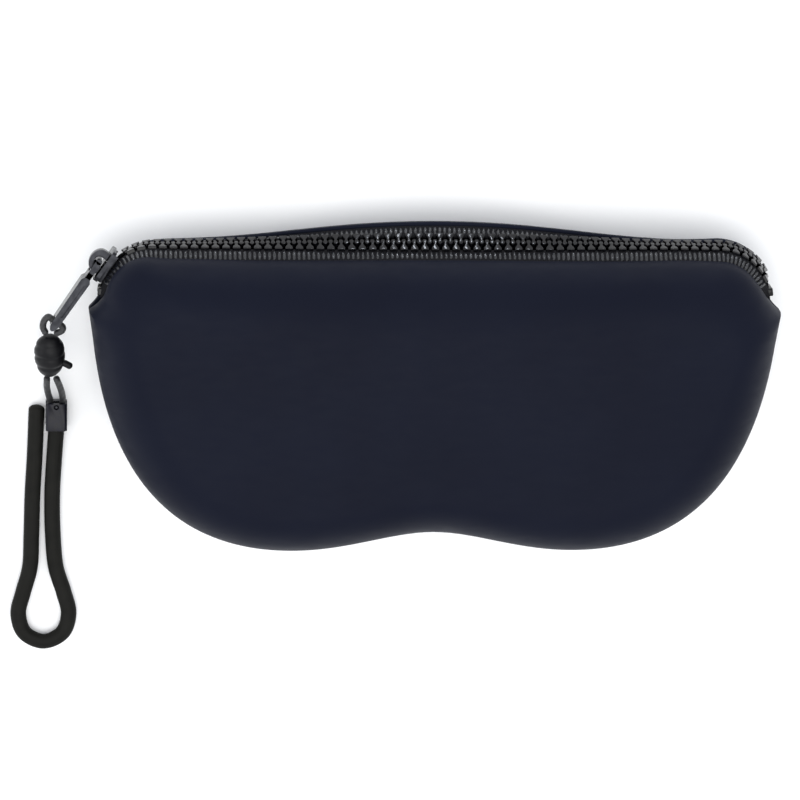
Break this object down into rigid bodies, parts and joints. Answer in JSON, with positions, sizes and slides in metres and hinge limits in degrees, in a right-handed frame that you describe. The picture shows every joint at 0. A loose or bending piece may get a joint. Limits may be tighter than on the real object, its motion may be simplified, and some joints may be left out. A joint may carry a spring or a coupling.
{
  "type": "zipped glasses case",
  "caption": "Soft moulded glasses case shaped like a pair of sunglasses, with a moulded-tooth zip along the top and a short carrying strap.",
  "frame": {"origin": "centre of the flat area of the rear face, on which the case lies", "axes": "+X across the case, +Y towards the zip, +Z out of the front face"},
  "size_m": [0.2003, 0.1202, 0.0373],
  "materials": {
    "silicone": "matte moulded silicone",
    "zip_tape": "woven tape",
    "zip_teeth": "glossy moulded plastic",
    "slider_metal": "dark plated metal",
    "thin_cord": "round braided cord",
    "cuff_plastic": "glossy plastic",
    "strap_rubber": "matte rubber cord"
  },
  "bodies": {
    "rear_half": {"rear_shell": "silicone", "rear_tape": "zip_tape", "rear_teeth": "zip_teeth", "top_stop_rear": "zip_teeth", "bottom_stop": "zip_teeth"},
    "front_half": {"front_shell": "silicone", "front_tape": "zip_tape", "front_teeth": "zip_teeth", "top_stop_front": "zip_teeth"},
    "slider": {"slider_body": "slider_metal"},
    "puller": {"puller": "slider_metal"},
    "lanyard": {"cord_eye": "thin_cord", "cord_knot": "thin_cord", "cord_loop": "thin_cord", "strap_cuff": "cuff_plastic", "cuff_pin": "slider_metal", "strap": "strap_rubber"}
  },
  "joints": [
    {"name": "mouth_open", "type": "hinge", "parent": "rear_half", "child": "front_half", "pos_m": [0, -0.0432, 0.018], "axis": [1, 0, 0], "range_deg": [0, 16], "deforming": ["front_tape", "front_teeth", "rear_tape", "rear_teeth"]},
    {"name": "slider_travel", "type": "hinge", "parent": "rear_half", "child": "slider", "pos_m": [-0.0733, 0.0255, 0.018], "axis": [0, 0, 1], "range_deg": [-54, 0]},
    {"name": "puller_flip", "type": "hinge", "parent": "slider", "child": "puller", "pos_m": [-0.08734, 0.03533, 0.018], "axis": [0, 0, 1], "range_deg": [-170, 4]},
    {"name": "strap_swing", "type": "hinge", "parent": "puller", "child": "lanyard", "pos_m": [-0.09841, 0.01892, 0.018], "axis": [0, 0, 1], "range_deg": [-40, 15], "deforming": ["cord_eye"]}
  ]
}
